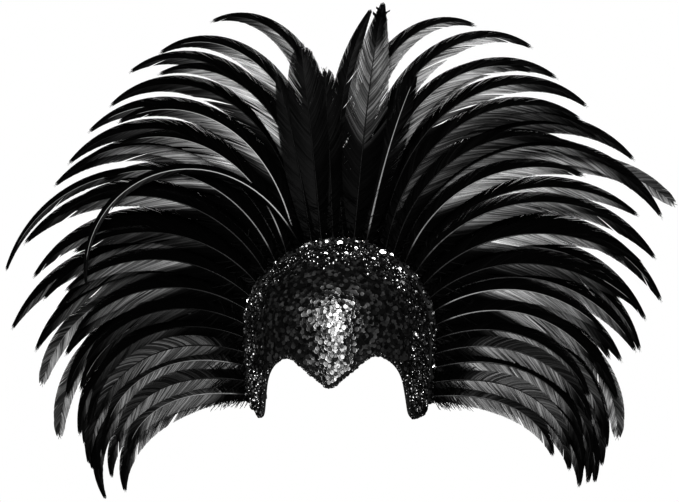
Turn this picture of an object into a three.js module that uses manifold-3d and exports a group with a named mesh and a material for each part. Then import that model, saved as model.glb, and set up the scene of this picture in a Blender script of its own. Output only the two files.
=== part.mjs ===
// Feather headdress: a half cap with a widow's peak and two temple tabs, edged by a rolled
// binding in front and a raised trim behind, that carries four rows of curved tail feathers,
// a crest of upright plumes and one stray feather. Millimetres, +Z up, the wearer faces -Y.
// The pieces are laid out about the middle of the head and then dropped, so that the origin
// is the inside of the crown, where the cap sits on the head.

import * as THREE from "three";
import { mergeVertices } from "three/addons/utils/BufferGeometryUtils.js";
import Module from "manifold-3d";

const wasm = await Module();
wasm.setup();

// Driving dimensions of the cap
const CAP_HALF_WIDTH = 81;
const CAP_RISE = 75; // from the temple line up to the crown
const CAP_REACH = 91; // from the rim plane forward to the forehead
const CAP_WALL = 2;
const SKIRT_DROP = 82; // how far the wall runs below the temple line before it is cut
const SKIRT_TAPER = 0.045; // share of its width that the skirt loses at its foot
const BAND_DEPTH = 36; // how far the cap runs back behind the rim plane
const CAP_SIDES = 40;
const DOME_STEPS = 8;
const EDGE_STEPS = 34; // from the peak to the end of the lower edge
const CUT_INSIDE = 0.6; // the cut along that edge runs from inside the wall
const CUT_OUTSIDE = 1.5; // to outside it, as shares of the cap's width
const PATTERN_RADIUS = 86; // turns a distance round the cap into an angle
const SEAT_CLEARANCE = 0.35; // between two pieces that rest on each other
const SEAM_GAP = 0.3; // between the cap and the band behind it

// Driving dimensions of the trim, the binding and the feather tapes
const TRIM_MIDDLE = -5; // depth of the trim's middle, just in front of the first row
const TRIM_STEPS = 40;
const BINDING_RADIUS = 2;
const BINDING_CLEARANCE = 0.7;
const BINDING_STEPS = 76;
const BINDING_SIDES = 3; // to each half turn
const BINDING_END = 148; // distance round the cap at which the binding stops
const TAPE_HALF_WIDTH = 3.6;
const TAPE_THICKNESS = 2.2;
const TAPE_GAP = 0.8; // between two tapes of one row
const TAPE_STEP = 11; // length of a tape's straight stretches

// Driving dimensions of the fan
const RIM_LEG = 67; // straight stretch of the rim below the temple line
const RIM_QUARTER = (Math.PI / 4) * (CAP_HALF_WIDTH + CAP_RISE); // crown to temple
const RIM_HALF = RIM_QUARTER + RIM_LEG;
const SWEEP_BACK = 24; // how far the longest tips lie behind their roots
const SWEEP_REACH = 220; // distance out from the rim at which they do
const LAYER_STEP = 2; // neighbours in one row lie this far before and behind its middle
const BLADE_THICKNESS = 2.2;
const BLADE_TIP_THICKNESS = 1.2;
const QUILL_FOOT = 2.6; // width of a bare quill
const TURN_BY_SHARE = 0.8; // how much less a shorter row turns
const SCATTER_SEED = 20;
const SCATTER_ROW_STEP = 100; // between the seeds of two rows
const SCATTER_STEP_A = 12.9898;
const SCATTER_STEP_B = 78.233;
const SCATTER_GAIN = 43758.5453;
const LENGTH_SCATTER = 0.04;
const HEADING_SCATTER = 1; // degrees
const FEATHERS_PER_BUNCH = 4;
const ROUTE_STEPS = 60;

// Trim section: across the band, out from the cap
const TRIM_SECTION = [
  { across: -5.5, out: 0 },
  { across: -4.8, out: 2.5 },
  { across: -1.9, out: 4 },
  { across: 1.9, out: 4 },
  { across: 4.8, out: 2.5 },
  { across: 5.5, out: 0 },
];

// Blade outline: share of the feather's length, share of its full width
const SICKLE = [
  { along: 0, wide: 0.08 },
  { along: 0.07, wide: 0.36 },
  { along: 0.2, wide: 0.7 },
  { along: 0.36, wide: 0.94 },
  { along: 0.5, wide: 1 },
  { along: 0.64, wide: 0.92 },
  { along: 0.78, wide: 0.7 },
  { along: 0.9, wide: 0.38 },
  { along: 1, wide: 0.03 },
];
const BLUNT = [
  { along: 0, wide: 0.12 },
  { along: 0.12, wide: 0.34 },
  { along: 0.3, wide: 0.66 },
  { along: 0.5, wide: 0.9 },
  { along: 0.7, wide: 1 },
  { along: 0.88, wide: 0.86 },
  { along: 0.97, wide: 0.5 },
  { along: 1, wide: 0.2 },
];

// The fan from the crown (0) to the foot of a tab (1): heading of the quill where it leaves
// the cap, in degrees from upright, how far it turns by its tip, how late it turns, length
const FAN = [
  { at: 0.04, start: 0.5, turn: 112, crook: 3, length: 274 },
  { at: 0.12, start: 8.5, turn: 115, crook: 2, length: 285 },
  { at: 0.22, start: 12, turn: 122, crook: 1.4, length: 284 },
  { at: 0.33, start: 22, turn: 114, crook: 1.05, length: 278 },
  { at: 0.45, start: 38, turn: 104, crook: 0.92, length: 264 },
  { at: 0.58, start: 55, turn: 105, crook: 1, length: 236 },
  { at: 0.7, start: 66, turn: 114, crook: 1.1, length: 228 },
  { at: 0.82, start: 74, turn: 116, crook: 1.25, length: 228 },
  { at: 0.97, start: 87, turn: 102, crook: 1.8, length: 186 },
];

// Rows from the front one to the back one
const ROWS = [
  { name: "row_1", depth: 4.6, share: 0.74, width: 21, from: 0.25, to: 0.97, count: 12 },
  { name: "row_2", depth: 13, share: 0.86, width: 21, from: 0.13, to: 0.97, count: 12 },
  { name: "row_3", depth: 21.4, share: 0.96, width: 22, from: 0.05, to: 0.96, count: 12 },
  { name: "row_4", depth: 29.8, share: 1, width: 22, from: 0.1, to: 0.96, count: 12 },
];
const BUNCHES = ["crown", "shoulder", "temple"];
const SIDES = [
  { name: "left", sign: 1 },
  { name: "right", sign: -1 },
];

// Feathers that stand out from the fan: degrees added to the start, then turn, length and
// width as shares of their neighbours'
const STANDOUTS = [
  { row: "row_4", sign: -1, number: 3, start: 0, turn: 1.2, length: 1.2, width: 0.55, blade: SICKLE },
  { row: "row_3", sign: -1, number: 5, start: 0, turn: 1, length: 0.95, width: 0.75, blade: SICKLE },
  { row: "row_4", sign: -1, number: 5, start: 0, turn: 1, length: 1.06, width: 1, blade: SICKLE },
  { row: "row_4", sign: -1, number: 6, start: 0, turn: 1.06, length: 1.03, width: 0.85, blade: BLUNT },
  { row: "row_4", sign: -1, number: 7, start: 0, turn: 1.08, length: 1.11, width: 0.9, blade: BLUNT },
  { row: "row_4", sign: -1, number: 10, start: 0, turn: 1.12, length: 1.07, width: 0.9, blade: SICKLE },
  { row: "row_4", sign: -1, number: 11, start: 6, turn: 0.92, length: 0.92, width: 1.1, blade: SICKLE },
  { row: "row_3", sign: 1, number: 3, start: 0, turn: 1.16, length: 1.1, width: 1.1, blade: SICKLE },
  { row: "row_4", sign: 1, number: 3, start: 0, turn: 0.97, length: 1.07, width: 0.9, blade: BLUNT },
  { row: "row_3", sign: 1, number: 4, start: 0, turn: 1.06, length: 0.98, width: 1, blade: SICKLE },
  { row: "row_4", sign: 1, number: 4, start: 0, turn: 1.1, length: 1.01, width: 1, blade: SICKLE },
  { row: "row_3", sign: 1, number: 5, start: 0, turn: 1.1, length: 0.91, width: 0.9, blade: SICKLE },
  { row: "row_4", sign: 1, number: 5, start: 0, turn: 1.13, length: 0.98, width: 0.9, blade: SICKLE },
  { row: "row_3", sign: 1, number: 6, start: 0, turn: 1, length: 0.91, width: 1, blade: SICKLE },
  { row: "row_4", sign: 1, number: 6, start: 0, turn: 0.96, length: 0.84, width: 1, blade: SICKLE },
  { row: "row_3", sign: 1, number: 7, start: 0, turn: 0.92, length: 0.84, width: 1, blade: SICKLE },
  { row: "row_4", sign: 1, number: 7, start: 0, turn: 1.1, length: 1.02, width: 0.9, blade: BLUNT },
  { row: "row_4", sign: 1, number: 11, start: -6, turn: 1.06, length: 0.98, width: 1, blade: SICKLE },
];
const PLAIN_FEATHER = { start: 0, turn: 1, length: 1, width: 1, blade: SICKLE };

// Upright plumes of the crest: place round the rim, depth, lean and turn in degrees
const PLUMES = [
  { foot: -24.5, depth: 7.8, lean: -9, turn: -8, length: 158, width: 26, blade: SICKLE },
  { foot: -15.5, depth: 1.8, lean: -5, turn: -4, length: 178, width: 34, blade: BLUNT },
  { foot: -6, depth: 4.8, lean: -2, turn: -3, length: 156, width: 27, blade: BLUNT },
  { foot: 3, depth: 7.8, lean: -5, turn: 31, length: 214, width: 22, blade: SICKLE },
  { foot: 12, depth: 1.8, lean: 5, turn: 4, length: 218, width: 38, blade: SICKLE },
  { foot: 22, depth: 4.8, lean: 12, turn: 12, length: 160, width: 28, blade: SICKLE },
];
const PLUME_CROOK = 1.8;
const PLUME_SWEEP = 0.35; // share of the fan's sweep that the plumes take below their curl
const PLUME_CURL_FROM = 130; // distance out from the rim at which they start to curl back
const PLUME_FOOT_HALF = 2.4;
const PLUME_FOOT_RISE = 7;
const QUILL_LIFT = 1; // of a single quill's end above the cap

// The stray feather that loops down across the fan on the wearer's right
const STRAY = { foot: -33, depth: 4.6, start: 24, turn: 162, crook: 1.15, length: 292, width: 10 };
const STRAY_FORWARD = 7.4; // how far it comes forward to lie on the first row
const STRAY_FORWARD_BY = 24; // length by which it has done so

// Materials
const FEATHER_BLACK = { color: 0x0b0b0c, roughness: 0.42, metalness: 0 };
const SEQUIN_BLACK = { color: 0x141418, roughness: 0.28, metalness: 0.35 };
const TRIM_BLACK = { color: 0x1c1c20, roughness: 0.22, metalness: 0.45 };
const BINDING_BLACK = { color: 0x08080a, roughness: 0.6, metalness: 0 };

// Solids

function solidFrom(geometry) {
  const bare = geometry.clone();
  bare.deleteAttribute("normal");
  bare.deleteAttribute("uv");
  const merged = mergeVertices(bare, 1e-4);
  return new wasm.Manifold(
    new wasm.Mesh({
      numProp: 3,
      vertProperties: new Float32Array(merged.attributes.position.array),
      triVerts: new Uint32Array(merged.index.array),
    }),
  );
}

function geometryFrom(solid) {
  const mesh = solid.getMesh();
  const geometry = new THREE.BufferGeometry();
  geometry.setAttribute("position", new THREE.BufferAttribute(mesh.vertProperties, 3));
  geometry.setIndex(new THREE.BufferAttribute(mesh.triVerts, 1));
  return geometry;
}

// A closed body through rings of points that all have the same count.
function loft(rings) {
  const count = rings[0].length;
  const positions = rings.flat().flatMap((p) => [p.x, p.y, p.z]);
  const index = [];
  for (let r = 0; r + 1 < rings.length; r++) {
    for (let i = 0; i < count; i++) {
      const a = r * count + i;
      const b = r * count + ((i + 1) % count);
      index.push(a, b, b + count, a, b + count, a + count);
    }
  }
  const last = (rings.length - 1) * count;
  for (let i = 1; i + 1 < count; i++) {
    index.push(0, i + 1, i);
    index.push(last, last + i, last + i + 1);
  }
  const geometry = new THREE.BufferGeometry();
  geometry.setAttribute("position", new THREE.Float32BufferAttribute(positions, 3));
  geometry.setIndex(signedVolume(positions, index) < 0 ? index.reverse() : index);
  return geometry;
}

function signedVolume(positions, index) {
  const corner = (i) => new THREE.Vector3().fromArray(positions, index[i] * 3);
  let sum = 0;
  for (let i = 0; i < index.length; i += 3) {
    sum += corner(i).dot(corner(i + 1).cross(corner(i + 2)));
  }
  return sum / 6;
}

function piece(name, geometry, finish) {
  const mesh = new THREE.Mesh(geometry, new THREE.MeshStandardMaterial(finish));
  mesh.name = name;
  return mesh;
}

// The cap

const skirtWidth = (up) => 1 - SKIRT_TAPER * (Math.min(0, up) / SKIRT_DROP) ** 2;
const sectionShare = (depth) => Math.sqrt(1 - (depth / CAP_REACH) ** 2);

// One half of the cap's lower edge, unrolled: distance round from the peak, height. The
// wearer's left tab is the slimmer one, and the right tab ends in a point.
function halfEdge(sign) {
  const edge = new THREE.Path();
  edge.moveTo(0, -43.6);
  edge.quadraticCurveTo(2.2, -43.2, 4.5, -41);
  if (sign > 0) {
    edge.lineTo(32, -20);
    edge.quadraticCurveTo(44, -12, 58, -20.5);
    edge.quadraticCurveTo(75, -30, 80.5, -46);
    edge.lineTo(87.5, -66);
    edge.quadraticCurveTo(90, -74.5, 98, -74);
  } else {
    edge.lineTo(31, -22);
    edge.quadraticCurveTo(42, -14.5, 55, -22.5);
    edge.quadraticCurveTo(70, -31, 75, -46);
    edge.lineTo(81, -66);
    edge.quadraticCurveTo(84, -76, 89.5, -73);
    edge.lineTo(94, -70);
    edge.quadraticCurveTo(101, -66, 113, -67.8);
  }
  edge.lineTo(135, -71);
  edge.quadraticCurveTo(150, -70, 180, -66);
  return edge.getSpacedPoints(EDGE_STEPS).map((p) => new THREE.Vector2(sign * p.x, p.y));
}

function lowerEdge() {
  return [...halfEdge(-1).slice(1).reverse(), ...halfEdge(1)];
}

// A point of the skirt's wall, as a share of the way from the head's middle to its outside.
function skirtPoint(round, up, share = 1) {
  const angle = round / PATTERN_RADIUS;
  const width = skirtWidth(up) * share;
  return new THREE.Vector3(
    CAP_HALF_WIDTH * width * Math.sin(angle),
    -CAP_REACH * width * Math.cos(angle),
    up,
  );
}

// The wall between two depths. The cap and the band that carries the feathers meet under the
// trim.
function capWall(front, back) {
  const wall = (inset) => {
    const points = [];
    for (let i = 0; i <= DOME_STEPS; i++) {
      const rise = (Math.PI / 2) * (1 - i / DOME_STEPS);
      const across = (CAP_HALF_WIDTH - inset) * Math.cos(rise);
      const up = (CAP_RISE - inset) * Math.sin(rise);
      points.push(new THREE.Vector2(i === 0 ? 0 : across, up));
    }
    for (const up of [-SKIRT_DROP / 2, -SKIRT_DROP]) {
      points.push(new THREE.Vector2((CAP_HALF_WIDTH - inset) * skirtWidth(up), up));
    }
    return points;
  };
  const profile = [...wall(0), ...wall(CAP_WALL).reverse()].reverse();
  const dome = new THREE.LatheGeometry(profile, CAP_SIDES);
  dome.rotateX(Math.PI / 2);
  dome.scale(1, CAP_REACH / CAP_HALF_WIDTH, 1);

  const below = -2 * SKIRT_DROP;
  const cutAway = loft(
    lowerEdge().map((p) => {
      const inside = skirtPoint(p.x, p.y, CUT_INSIDE);
      const outside = skirtPoint(p.x, p.y, CUT_OUTSIDE);
      return [inside, outside, outside.clone().setZ(below), inside.clone().setZ(below)];
    }),
  );
  const slice = new THREE.BoxGeometry(4 * CAP_HALF_WIDTH, back - front, 4 * CAP_REACH);
  slice.translate(0, (front + back) / 2, 0);
  return geometryFrom(solidFrom(dome).subtract(solidFrom(cutAway)).intersect(solidFrom(slice)));
}

// A rolled edge that hangs just under the cap's cut front edge.
function edgeBinding() {
  const middle = 1 - CAP_WALL / 2 / CAP_HALF_WIDTH;
  const edge = lowerEdge().filter((p) => Math.abs(p.x) <= BINDING_END);
  const cut = new THREE.CatmullRomCurve3(edge.map((p) => skirtPoint(p.x, p.y, middle)));
  const hung = [];
  for (let i = 0; i <= BINDING_STEPS; i++) {
    const place = cut.getPointAt(i / BINDING_STEPS);
    const along = cut.getTangentAt(i / BINDING_STEPS);
    const outward = new THREE.Vector3(
      place.x / CAP_HALF_WIDTH ** 2,
      place.y / CAP_REACH ** 2,
      0,
    ).normalize();
    const away = along.clone().cross(outward).normalize();
    if (away.z > 0) {
      away.negate();
    }
    hung.push(place.addScaledVector(away, BINDING_RADIUS + BINDING_CLEARANCE));
  }
  const section = new THREE.Shape();
  section.absarc(0, 0, BINDING_RADIUS, 0, 2 * Math.PI);
  return new THREE.ExtrudeGeometry(section, {
    steps: BINDING_STEPS,
    curveSegments: BINDING_SIDES,
    extrudePath: new THREE.CatmullRomCurve3(hung),
  });
}

// The rim, which runs from tab to tab over the crown

// A point at a distance round the rim from the crown, lifted off the cap's outside.
function rimPoint(round, depth, lift) {
  const side = Math.sign(round) || 1;
  const share = sectionShare(depth);
  const distance = Math.abs(round);
  if (distance <= RIM_QUARTER) {
    const angle = ((distance / RIM_QUARTER) * Math.PI) / 2;
    const across = (CAP_HALF_WIDTH * share + lift) * Math.sin(angle);
    return new THREE.Vector3(side * across, depth, (CAP_RISE * share + lift) * Math.cos(angle));
  }
  const up = RIM_QUARTER - distance;
  return new THREE.Vector3(side * (CAP_HALF_WIDTH * share * skirtWidth(up) + lift), depth, up);
}

function rimTrim() {
  const rings = [];
  for (let i = 0; i <= TRIM_STEPS; i++) {
    const round = RIM_HALF * ((2 * i) / TRIM_STEPS - 1);
    rings.push(
      TRIM_SECTION.map(({ across, out }) => {
        const foot = rimPoint(round, 0, SEAT_CLEARANCE + out);
        return foot.setY(TRIM_MIDDLE + across);
      }),
    );
  }
  return loft(rings);
}

// A tape that lies on the cap under one bunch of feathers.
function tape(from, to, depth) {
  const front = depth - TAPE_HALF_WIDTH;
  const back = depth + TAPE_HALF_WIDTH;
  const steps = Math.max(2, Math.round(Math.abs(to - from) / TAPE_STEP));
  const rings = [];
  for (let i = 0; i <= steps; i++) {
    const round = from + ((to - from) * i) / steps;
    rings.push([
      rimPoint(round, front, SEAT_CLEARANCE),
      rimPoint(round, back, SEAT_CLEARANCE),
      rimPoint(round, back, SEAT_CLEARANCE + TAPE_THICKNESS),
      rimPoint(round, front, SEAT_CLEARANCE + TAPE_THICKNESS),
    ]);
  }
  return loft(rings);
}

// Feathers

// The same scatter from -1 to 1 each time, from a feather's own numbers.
function scatter(a, b) {
  const wave = Math.sin(a * SCATTER_STEP_A + b * SCATTER_STEP_B) * SCATTER_GAIN;
  return 2 * (wave - Math.floor(wave)) - 1;
}

// A column of the fan table at any place between the crown and a tab's foot.
function fanValue(column, at) {
  const next = FAN.findIndex((row) => row.at >= at);
  if (next <= 0) {
    return FAN[next === 0 ? 0 : FAN.length - 1][column];
  }
  const [low, high] = [FAN[next - 1], FAN[next]];
  return THREE.MathUtils.mapLinear(at, low.at, high.at, low[column], high[column]);
}

const outFromRim = (across, up) => Math.max(0, Math.hypot(across, up) - CAP_RISE);

// How far back the fan has swept at a place in the frontal plane.
function sweepAt(across, up) {
  return SWEEP_BACK * (outFromRim(across, up) / SWEEP_REACH) ** 2;
}

// The plumes stand straighter than the fan and curl back to it at the top.
function plumeSweepAt(across, up) {
  const curl = THREE.MathUtils.smoothstep(outFromRim(across, up), PLUME_CURL_FROM, SWEEP_REACH);
  return THREE.MathUtils.lerp(PLUME_SWEEP, 1, curl) * sweepAt(across, up);
}

// The quill's line: it leaves the root at a heading and turns ever faster towards its tip.
function quillRoute({ root, side, start, turn, crook, length, depthAt }) {
  const points = [];
  let [across, up] = [root.x, root.z];
  for (let i = 0; i <= ROUTE_STEPS; i++) {
    const along = i / ROUTE_STEPS;
    points.push(new THREE.Vector3(across, depthAt(along, across, up), up));
    const middle = (i + 0.5) / ROUTE_STEPS;
    const heading = THREE.MathUtils.degToRad(start + turn * middle ** crook);
    across += (side * Math.sin(heading) * length) / ROUTE_STEPS;
    up += (Math.cos(heading) * length) / ROUTE_STEPS;
  }
  return new THREE.CatmullRomCurve3(points);
}

// A thin blade along the quill, flat behind and ridged along the quill in front.
function featherBlade({ route, side, depthAt, blade, width }) {
  const rings = blade.map(({ along, wide }) => {
    const place = route.getPoint(along);
    const tangent = route.getTangent(along);
    const across = new THREE.Vector3(side * tangent.z, 0, -side * tangent.x).normalize();
    across.y =
      depthAt(along, place.x + across.x, place.z + across.z) - depthAt(along, place.x, place.z);
    across.normalize();
    const back = tangent.clone().cross(across).multiplyScalar(side).normalize();
    const half = (QUILL_FOOT + (width - QUILL_FOOT) * wide) / 2;
    const depth = THREE.MathUtils.lerp(BLADE_THICKNESS, BLADE_TIP_THICKNESS, along) / 2;
    const at = (sideways, behind) =>
      place.clone().addScaledVector(across, sideways).addScaledVector(back, behind);
    return [at(-half, depth), at(0, -depth), at(half, depth)];
  });
  return loft(rings);
}

function fanFeather(row, rowNumber, number, side) {
  const at = row.from + ((row.to - row.from) * number) / (row.count - 1);
  const seed = SCATTER_SEED + rowNumber * SCATTER_ROW_STEP + number * 2 + (side < 0 ? 1 : 0);
  const layer = number % 2 === 0 ? -LAYER_STEP : LAYER_STEP;
  const round = at * RIM_HALF;
  const own =
    STANDOUTS.find((f) => f.row === row.name && f.sign === side && f.number === number) ??
    PLAIN_FEATHER;
  const depthAt = (along, across, up) => row.depth + layer + sweepAt(across, up);
  const route = quillRoute({
    root: rimPoint(side * round, row.depth, SEAT_CLEARANCE + TAPE_THICKNESS / 2),
    side,
    start: fanValue("start", at) + own.start + HEADING_SCATTER * scatter(seed, 1),
    turn: fanValue("turn", at) * row.share ** TURN_BY_SHARE * own.turn,
    crook: fanValue("crook", at),
    length:
      fanValue("length", at) * row.share * own.length * (1 + LENGTH_SCATTER * scatter(seed, 2)),
    depthAt,
  });
  const width = row.width * own.width;
  const blade = featherBlade({ route, side, depthAt, blade: own.blade, width });
  return { round, blade };
}

// A tape with its feathers, as one body.
function featherBunch(row, rowNumber, bunchNumber, side) {
  const first = bunchNumber * FEATHERS_PER_BUNCH;
  const feathers = [];
  for (let i = 0; i < FEATHERS_PER_BUNCH; i++) {
    feathers.push(fanFeather(row, rowNumber, first + i, side));
  }
  const pitch = (RIM_HALF * (row.to - row.from)) / (row.count - 1);
  const reach = pitch / 2 - TAPE_GAP / 2;
  const from = feathers[0].round - reach;
  const to = feathers[FEATHERS_PER_BUNCH - 1].round + reach;
  let bunch = solidFrom(tape(side * from, side * to, row.depth));
  for (const { blade } of feathers) {
    bunch = bunch.add(solidFrom(blade));
  }
  return geometryFrom(bunch);
}

// A short wrapped foot that stands a single quill on the cap.
function quillFoot(round, depth) {
  const rings = [];
  for (const [lift, half] of [
    [SEAT_CLEARANCE, PLUME_FOOT_HALF],
    [SEAT_CLEARANCE + PLUME_FOOT_RISE, PLUME_FOOT_HALF / 2],
  ]) {
    rings.push([
      rimPoint(round - half, depth - half / 2, lift),
      rimPoint(round + half, depth - half / 2, lift),
      rimPoint(round + half, depth + half / 2, lift),
      rimPoint(round - half, depth + half / 2, lift),
    ]);
  }
  return loft(rings);
}

function plume({ foot, depth, lean, turn, length, width, blade }) {
  const side = 1;
  const depthAt = (along, across, up) => depth + plumeSweepAt(across, up);
  const route = quillRoute({
    root: rimPoint(foot, depth, SEAT_CLEARANCE + QUILL_LIFT),
    side,
    start: lean,
    turn,
    crook: PLUME_CROOK,
    length,
    depthAt,
  });
  const vane = featherBlade({ route, side, depthAt, blade, width });
  return geometryFrom(solidFrom(vane).add(solidFrom(quillFoot(foot, depth))));
}

function strayFeather({ foot, depth, start, turn, crook, length, width }) {
  const side = Math.sign(foot);
  const forward = (along) =>
    STRAY_FORWARD * THREE.MathUtils.smoothstep(along * length, 0, STRAY_FORWARD_BY);
  const depthAt = (along, across, up) => depth - forward(along) + sweepAt(across, up);
  const route = quillRoute({
    root: rimPoint(foot, depth, SEAT_CLEARANCE + QUILL_LIFT),
    side,
    start,
    turn,
    crook,
    length,
    depthAt,
  });
  const vane = featherBlade({ route, side, depthAt, blade: SICKLE, width });
  return geometryFrom(solidFrom(vane).add(solidFrom(quillFoot(foot, depth))));
}

// The headdress

const headdress = new THREE.Group();
headdress.position.z = -(CAP_RISE - CAP_WALL);
const seamFront = TRIM_MIDDLE - SEAM_GAP / 2;
const seamBack = TRIM_MIDDLE + SEAM_GAP / 2;
headdress.add(piece("cap_shell", capWall(-2 * CAP_REACH, seamFront), SEQUIN_BLACK));
headdress.add(piece("cap_band", capWall(seamBack, BAND_DEPTH), SEQUIN_BLACK));
headdress.add(piece("edge_binding", edgeBinding(), BINDING_BLACK));
headdress.add(piece("rim_trim", rimTrim(), TRIM_BLACK));
ROWS.forEach((row, rowNumber) => {
  for (const { name, sign } of SIDES) {
    BUNCHES.forEach((bunch, bunchNumber) => {
      const geometry = featherBunch(row, rowNumber, bunchNumber, sign);
      headdress.add(piece(`${row.name}_${bunch}_${name}`, geometry, FEATHER_BLACK));
    });
  }
});
PLUMES.forEach((row, number) => {
  headdress.add(piece(`plume_${number + 1}`, plume(row), FEATHER_BLACK));
});
headdress.add(piece("stray_feather", strayFeather(STRAY), FEATHER_BLACK));

const part = new THREE.Group();
part.add(headdress);

export default part;
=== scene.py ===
# %% [markdown]
# # A black feather headdress
# The real thing is a stiff half cap under a skin of small black sequins. Behind its rim,
# curved tail feathers stand in four rows on sewn tapes, and a crest of plumes rises from the
# crown. This lesson dresses the plain solids with what they stand for: barbs, quills, sequins,
# stones and cloth. We start by loading the solids, so that every size comes from one place.

# %% Load the solids
import math

import bpy
import numpy as np
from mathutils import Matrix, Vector


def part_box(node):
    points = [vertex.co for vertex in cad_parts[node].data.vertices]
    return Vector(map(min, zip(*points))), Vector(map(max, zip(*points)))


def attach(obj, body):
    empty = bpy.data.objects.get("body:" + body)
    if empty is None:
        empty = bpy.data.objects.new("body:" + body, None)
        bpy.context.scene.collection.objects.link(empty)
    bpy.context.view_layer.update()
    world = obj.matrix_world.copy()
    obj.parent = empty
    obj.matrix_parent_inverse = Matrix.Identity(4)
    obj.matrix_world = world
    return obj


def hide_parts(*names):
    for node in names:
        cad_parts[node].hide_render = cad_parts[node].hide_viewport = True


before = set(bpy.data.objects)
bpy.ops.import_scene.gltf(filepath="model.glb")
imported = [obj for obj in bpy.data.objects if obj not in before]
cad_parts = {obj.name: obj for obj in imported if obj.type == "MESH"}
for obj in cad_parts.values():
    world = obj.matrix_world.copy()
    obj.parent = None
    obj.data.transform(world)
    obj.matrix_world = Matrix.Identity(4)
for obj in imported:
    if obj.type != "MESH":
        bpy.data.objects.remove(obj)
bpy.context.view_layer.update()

bpy.ops.object.select_all(action="DESELECT")

# %% [markdown]
# ## Camera
# The picture was taken from just beside the front, at eye level, with a long lens that hardly
# narrows the far feathers. We place the camera by two angles and a distance, and work the lens
# out from how wide the view is at the headdress.

# %% Camera
VIEW_AZIMUTH = math.radians(5.5)
VIEW_ELEVATION = math.radians(1.5)
VIEW_DISTANCE = 2.2
VIEW_WIDTH = 0.608
VIEW_TARGET = Vector((0, 0, -0.004))


def toward(azimuth, elevation):
    """The direction from the headdress to something at these angles, front being -Y."""
    level = math.cos(elevation)
    return Vector((math.sin(azimuth) * level, -math.cos(azimuth) * level, math.sin(elevation)))


def aim(thing, direction):
    """Turns a camera or a light, which look along their own -Z, against a direction."""
    thing.rotation_euler = direction.to_track_quat("Z", "Y").to_euler()


view_direction = toward(VIEW_AZIMUTH, VIEW_ELEVATION)
bpy.ops.object.camera_add(location=VIEW_TARGET + VIEW_DISTANCE * view_direction)
camera = bpy.context.object
aim(camera, view_direction)
camera.data.lens = camera.data.sensor_width * VIEW_DISTANCE / VIEW_WIDTH
bpy.context.scene.camera = camera
print("lens", round(camera.data.lens, 1), "mm")

# %% [markdown]
# ## Finishes in Python
# A finish is a tree of shader nodes. Wiring it by hand hides the sums in it, so one small class
# wraps a node's output and lets Python's own operators add the Math nodes. Every other kind of
# node comes from one method, which sets the node up first and fills its sockets after that.

# %% Shader values


class Value:
    """An output socket of a shader tree."""

    def __init__(self, socket):
        self.socket = socket

    def node(self, kind, settings=None, inputs=None, output=0):
        tree = self.socket.id_data
        made = tree.nodes.new(kind)
        for name, setting in (settings or {}).items():
            if name == "stops":
                set_stops(made.color_ramp, setting)
            else:
                setattr(made, name, setting)
        for name, value in (inputs or {}).items():
            feed(tree, made.inputs[name], value)
        return Value(made.outputs[output])

    def combine(self, operation, first, second):
        return self.node("ShaderNodeMath", {"operation": operation}, {0: first, 1: second})

    def __add__(self, other):
        return self.combine("ADD", self, other)

    def __radd__(self, other):
        return self.combine("ADD", other, self)

    def __mul__(self, other):
        return self.combine("MULTIPLY", self, other)

    def __rmul__(self, other):
        return self.combine("MULTIPLY", other, self)


def feed(tree, socket, value):
    """Links a shader value to a socket, or sets a plain one on it."""
    if isinstance(value, Value):
        tree.links.new(value.socket, socket)
    else:
        socket.default_value = value


def set_stops(ramp, stops):
    """Gives a colour ramp its stops: place, then grey level."""
    while len(ramp.elements) < len(stops):
        ramp.elements.new(1.0)
    for element, (place, level) in zip(ramp.elements, stops):
        element.position = place
        element.color = (level, level, level, 1)


def new_finish(name):
    """A material, its Principled shader and its Object coordinates as a value."""
    finish = bpy.data.materials.new(name)
    finish.use_nodes = True
    tree = finish.node_tree
    shader = tree.nodes["Principled BSDF"]
    where = Value(tree.nodes.new("ShaderNodeTexCoord").outputs["Object"])
    return finish, shader, where


def fill(shader, **sockets):
    """Fills a shader's sockets, whose names are written with _ for a space."""
    for name, value in sockets.items():
        feed(shader.id_data, shader.inputs[name.replace("_", " ")], value)


def mark(where, name):
    """A number that the mesh carries at each of its points."""
    return where.node("ShaderNodeAttribute", {"attribute_name": name}, None, "Fac")


def noise(where, scale, detail):
    return where.node("ShaderNodeTexNoise", None, {"Vector": where, "Scale": scale, "Detail": detail})


def grey(value, *stops):
    """A grey level that follows a value from stop to stop."""
    return value.node("ShaderNodeValToRGB", {"stops": stops}, {0: value})


def cover(finish, shader):
    """Wires a mixed shader to the material's output."""
    feed(finish.node_tree, finish.node_tree.nodes["Material Output"].inputs["Surface"], shader)


print("shader values ready")

# %% [markdown]
# ## Studio
# Black things are drawn by what they mirror, so the light is two tall narrow panels in front:
# they leave one bright column down the cap and catch each vane that looks up to them. A weak
# panel beside them adds a glow, and one behind lights the back. The world looks white but lights
# little, or every black would turn grey. The floor is small and fades out, so it is not mirrored
# either. A gamma below 1 deepens the blacks, as the picture's own development did.

# %% Light, world and floor
PANELS = [
    {"azimuth": 4, "elevation": 34, "distance": 2.0, "width": 0.5, "height": 1.0, "power": 36},
    {"azimuth": 4, "elevation": 6, "distance": 2.6, "width": 0.4, "height": 1.1, "power": 26},
    {"azimuth": -13, "elevation": 29, "distance": 2.2, "width": 1.4, "height": 1.2, "power": 12},
    {"azimuth": 180, "elevation": 22, "distance": 2.2, "width": 1.6, "height": 1.0, "power": 63},
]
BROAD_PANEL = 1.0
WORLD_LIGHT = 0.012
DEEP_BLACKS = 0.82
FLOOR_HEIGHT = -0.55
FLOOR_RADIUS = 0.8
FLOOR_FADES = 0.2


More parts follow.
